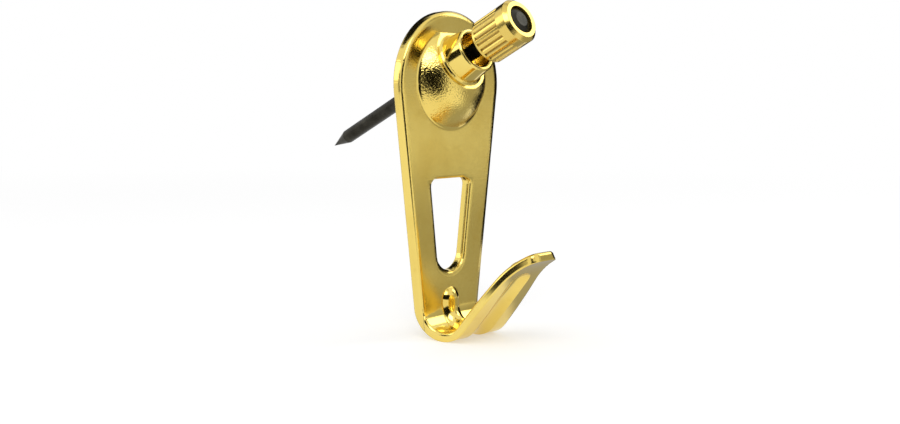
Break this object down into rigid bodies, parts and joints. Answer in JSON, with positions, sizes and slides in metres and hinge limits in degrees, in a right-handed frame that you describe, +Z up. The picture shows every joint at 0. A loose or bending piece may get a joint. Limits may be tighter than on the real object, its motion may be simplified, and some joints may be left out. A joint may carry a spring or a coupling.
{
  "type": "picture hook",
  "caption": "Stamped brass-plated picture hook with a domed nail guide, a tapered window and an upturned lip, held by a steel nail with a knurled brass grip.",
  "frame": {"origin": "the point of the wall face that the nail's axis goes through", "axes": "+Y into the wall, square to the plate's back; +Z up along the plate; +X across the plate"},
  "size_m": [0.0158, 0.0332, 0.0365],
  "materials": {
    "plate_brass": "bright brass plating on stamped steel",
    "nail_steel": "dark hardened steel",
    "grip_brass": "turned brass with straight knurling"
  },
  "bodies": {
    "root": {"hook_plate": "plate_brass", "nail": "nail_steel", "nail_grip": "grip_brass"}
  },
  "joints": []
}
